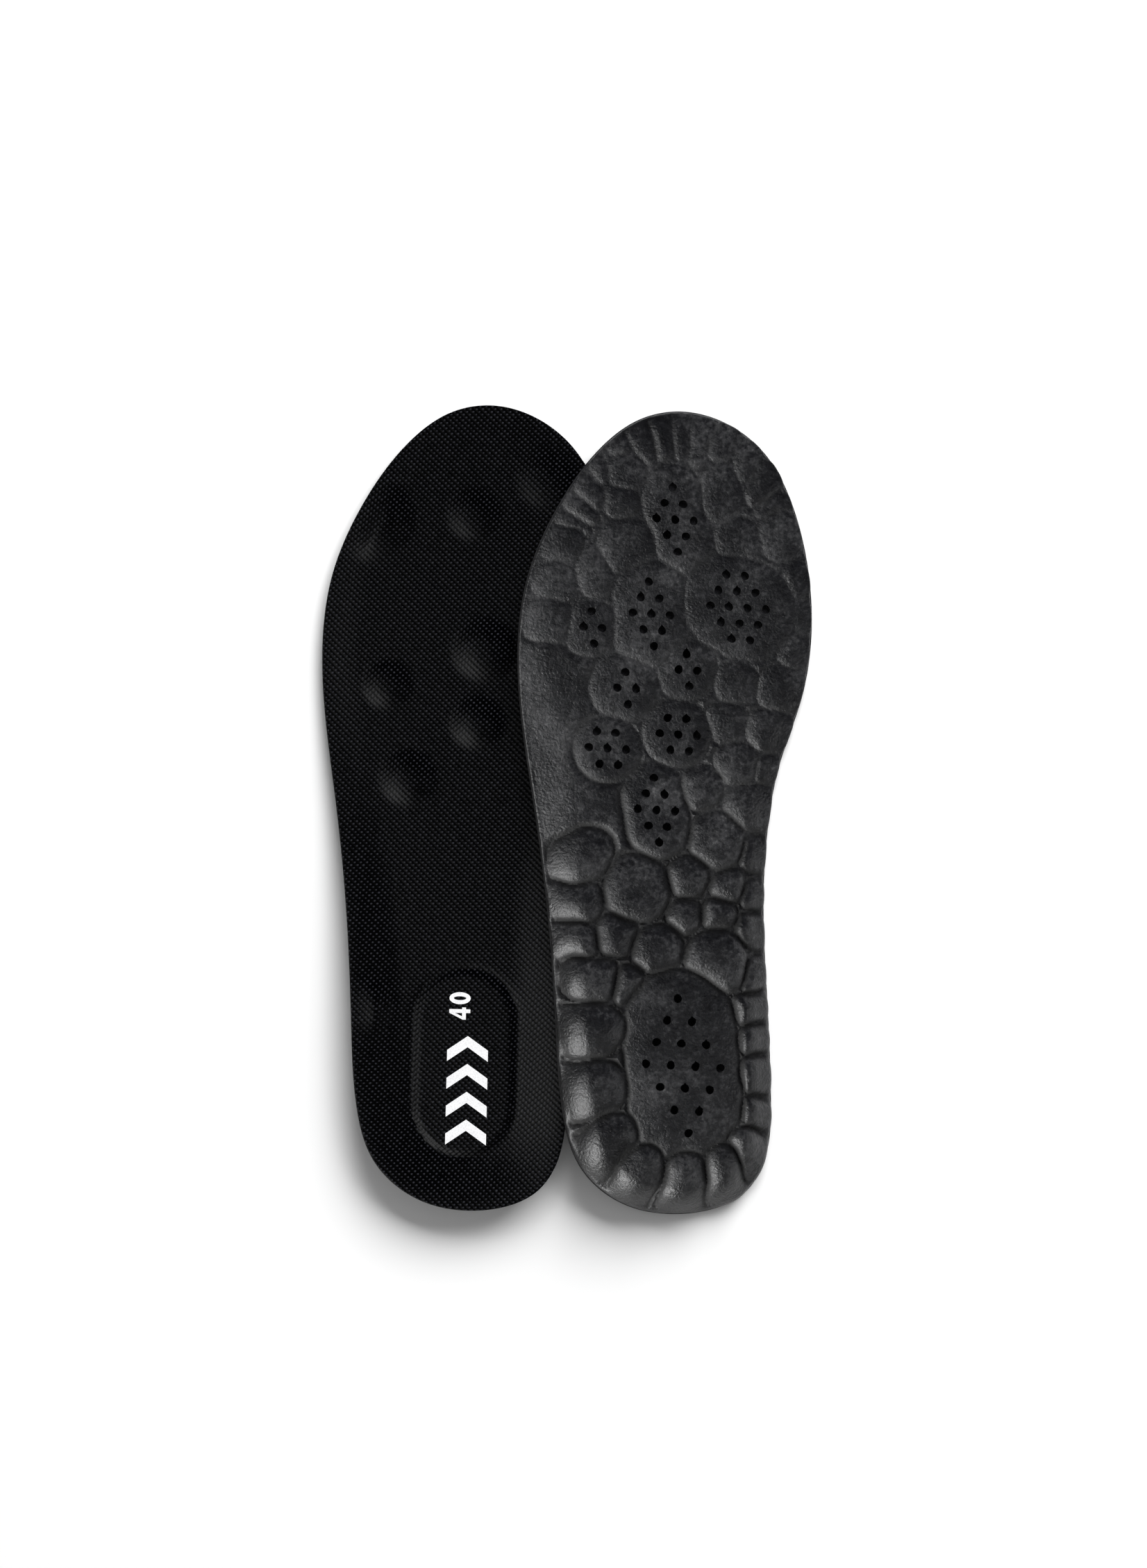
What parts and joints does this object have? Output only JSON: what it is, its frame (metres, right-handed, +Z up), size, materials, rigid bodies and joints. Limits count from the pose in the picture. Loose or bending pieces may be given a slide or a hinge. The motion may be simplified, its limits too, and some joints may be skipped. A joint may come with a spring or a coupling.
{
  "type": "cushioned insole pair",
  "caption": "Pair of full-length cushioned shoe insoles: knit top cloth over a vented foam moulding with a cobbled underside, one face up and one face down.",
  "frame": {"origin": "centre of the pair's footprint, on the surface that both insoles lie on", "axes": "+Z up from that surface, +Y from heel to toe, +X towards the medial side of the left insole, where the right one lies face down"},
  "size_m": [0.1586, 0.262, 0.0229],
  "materials": {
    "knit_cloth": "matte knitted mesh",
    "base_foam": "satin moulded polyurethane foam skin",
    "cushion_foam": "matte open-cell foam",
    "bond_film": "satin hot-melt film",
    "white_ink": "matte screen-printed ink"
  },
  "bodies": {
    "left_insole": {"left_moulded_base": "base_foam", "left_cushion_foam": "cushion_foam", "left_bond_film": "bond_film", "left_top_cloth": "knit_cloth", "left_size_print": "white_ink", "left_heel_mark": "white_ink"},
    "right_insole": {"right_moulded_base": "base_foam", "right_cushion_foam": "cushion_foam", "right_bond_film": "bond_film", "right_top_cloth": "knit_cloth", "right_size_print": "white_ink", "right_heel_mark": "white_ink"}
  },
  "joints": [
    {"name": "right_insole_lift", "type": "slide", "parent": "left_insole", "child": "right_insole", "axis": [0, 0, 1], "range_m": [0, 0.06]}
  ]
}
